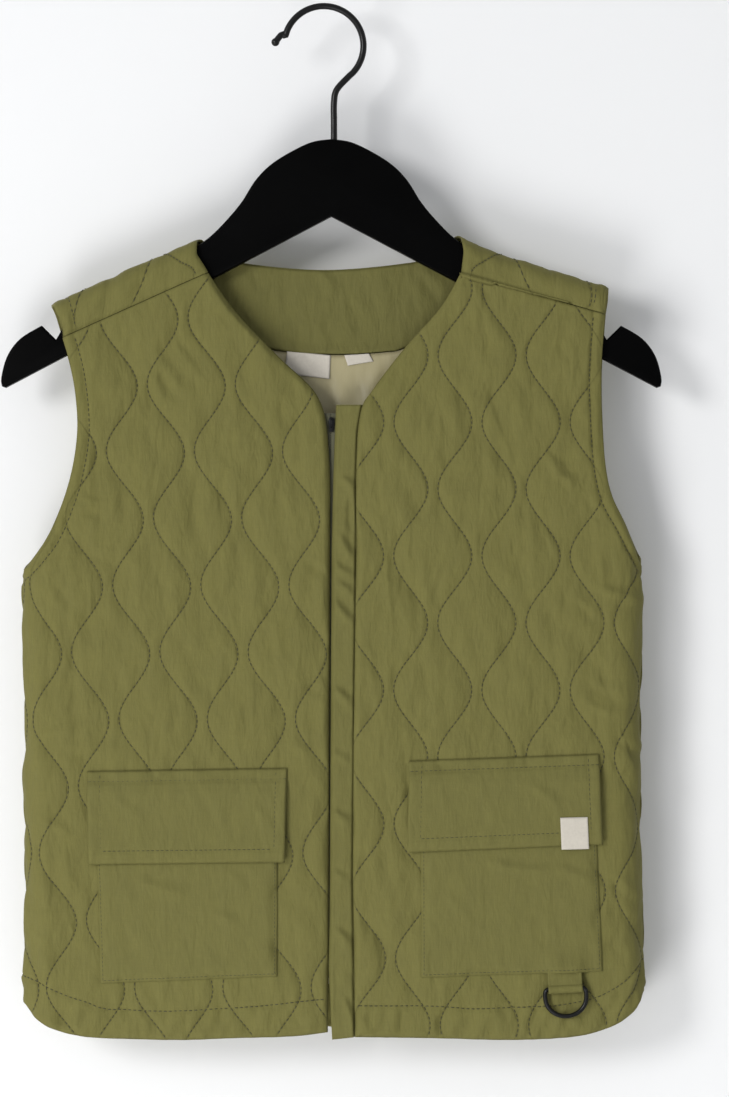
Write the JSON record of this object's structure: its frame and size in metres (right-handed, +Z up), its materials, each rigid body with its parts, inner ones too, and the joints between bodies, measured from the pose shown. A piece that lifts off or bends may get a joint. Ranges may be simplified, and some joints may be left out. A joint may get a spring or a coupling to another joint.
{
  "type": "quilted vest on a hanger",
  "caption": "Child's sleeveless quilted vest with a V-neck, zip placket and flap pockets, hanging open-necked on a notched hanger with a wire hook.",
  "frame": {"origin": "underside of the hook's top, where the hanger rests on a rail", "axes": "+Z up, the vest's front faces -Y, +X towards the wearer's left"},
  "size_m": [0.382, 0.0408, 0.5991],
  "materials": {
    "quilted_cloth": "crisp thin plain weave, quilted, olive green",
    "plain_cloth": "crisp thin plain weave, olive green",
    "lining": "smooth pale khaki lining with a soft sheen",
    "label": "cream woven tape, bare",
    "zip_tape": "dark olive woven tape",
    "black_plastic": "matte black",
    "black_metal": "black satin coating"
  },
  "bodies": {
    "garment": {"back_panel": "quilted_cloth", "front_right": "quilted_cloth", "front_left": "quilted_cloth", "back_neck_facing": "plain_cloth", "back_lining": "lining", "placket_strip": "plain_cloth", "zip_tape": "zip_tape", "zip_slider": "black_metal", "pocket_bag_right": "plain_cloth", "pocket_bag_left": "plain_cloth", "pocket_flap_right": "plain_cloth", "pocket_flap_left": "plain_cloth", "neck_label": "label", "size_label": "label", "flap_label": "label", "ring_tab": "plain_cloth", "hanger_body": "black_plastic", "hanger_hook": "black_metal"},
    "ring": {"d_ring": "black_metal"}
  },
  "joints": [
    {"name": "ring_swing", "type": "hinge", "parent": "garment", "child": "ring", "pos_m": [0.1396, -0.02059, -0.5652], "axis": [-0.9986, 0, -0.0523], "range_deg": [0, 150]}
  ]
}
